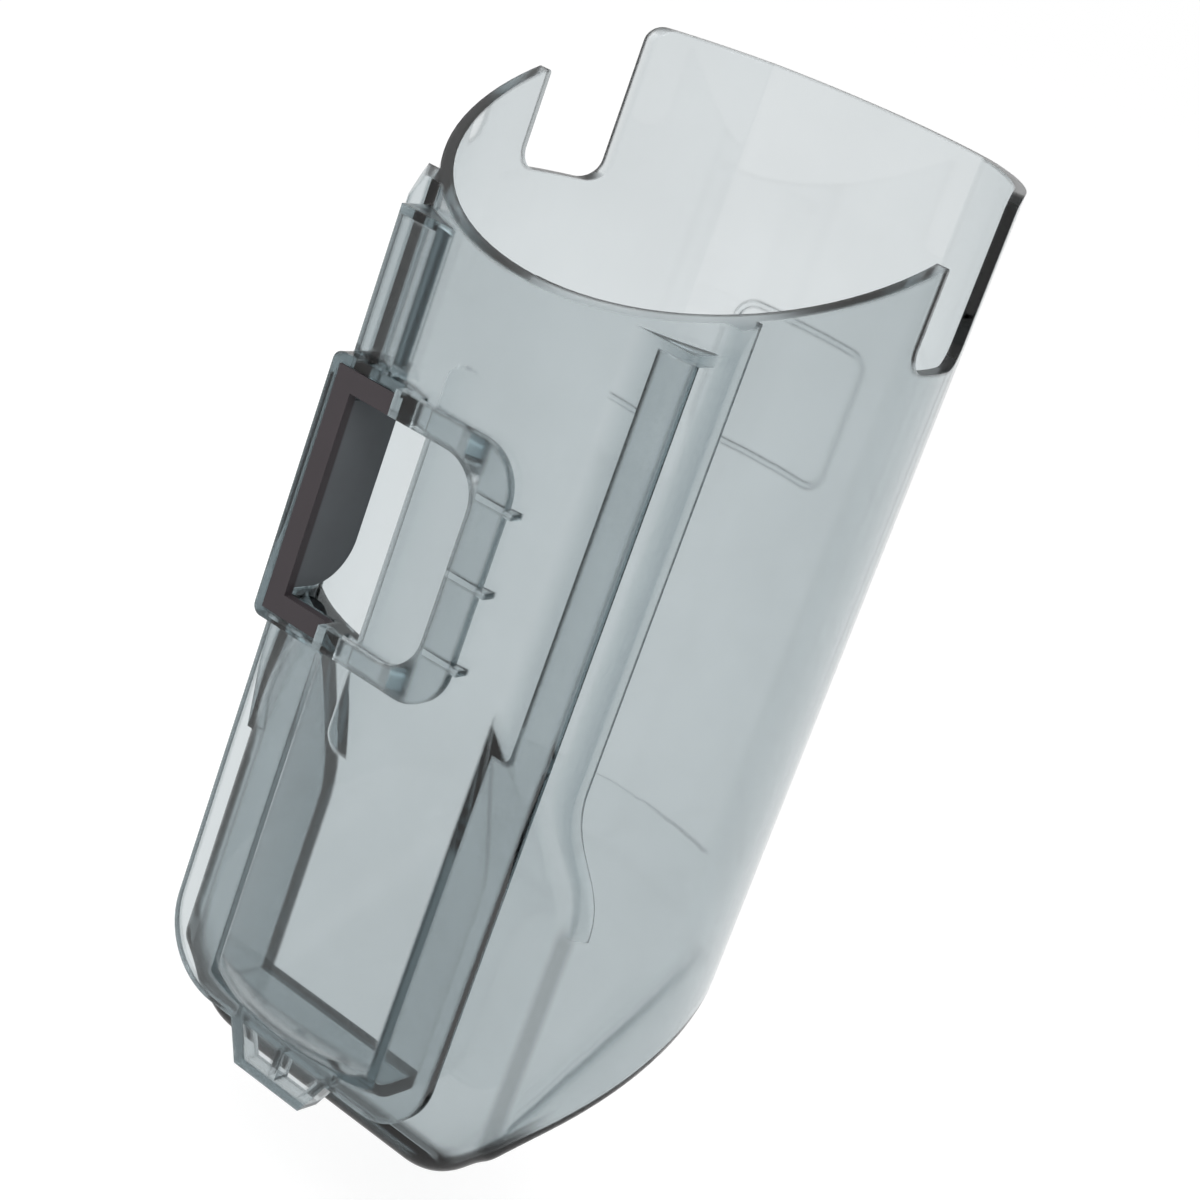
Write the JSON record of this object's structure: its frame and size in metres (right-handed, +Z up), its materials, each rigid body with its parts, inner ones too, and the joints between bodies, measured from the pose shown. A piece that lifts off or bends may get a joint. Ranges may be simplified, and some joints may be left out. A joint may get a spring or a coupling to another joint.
{
  "type": "cyclone dust bin",
  "caption": "Clear smoke-grey cyclone dust bin: round cup with a slanted floor, slotted mouth, guide flange and rails, and a side air inlet with a dark rubber seal.",
  "frame": {"origin": "on the bin's round axis, level with the lowest edge of its floor", "axes": "+Z up the round axis towards the mouth, -Y towards the machine side with the flange and inlet, +X to the right seen from that side"},
  "size_m": [0.112, 0.1126, 0.2286],
  "materials": {
    "clear_plastic": "clear, tinted smoke grey, polished",
    "seal_rubber": "matte"
  },
  "bodies": {
    "root": {"bin_body": "clear_plastic", "inlet_seal": "seal_rubber"}
  },
  "joints": []
}
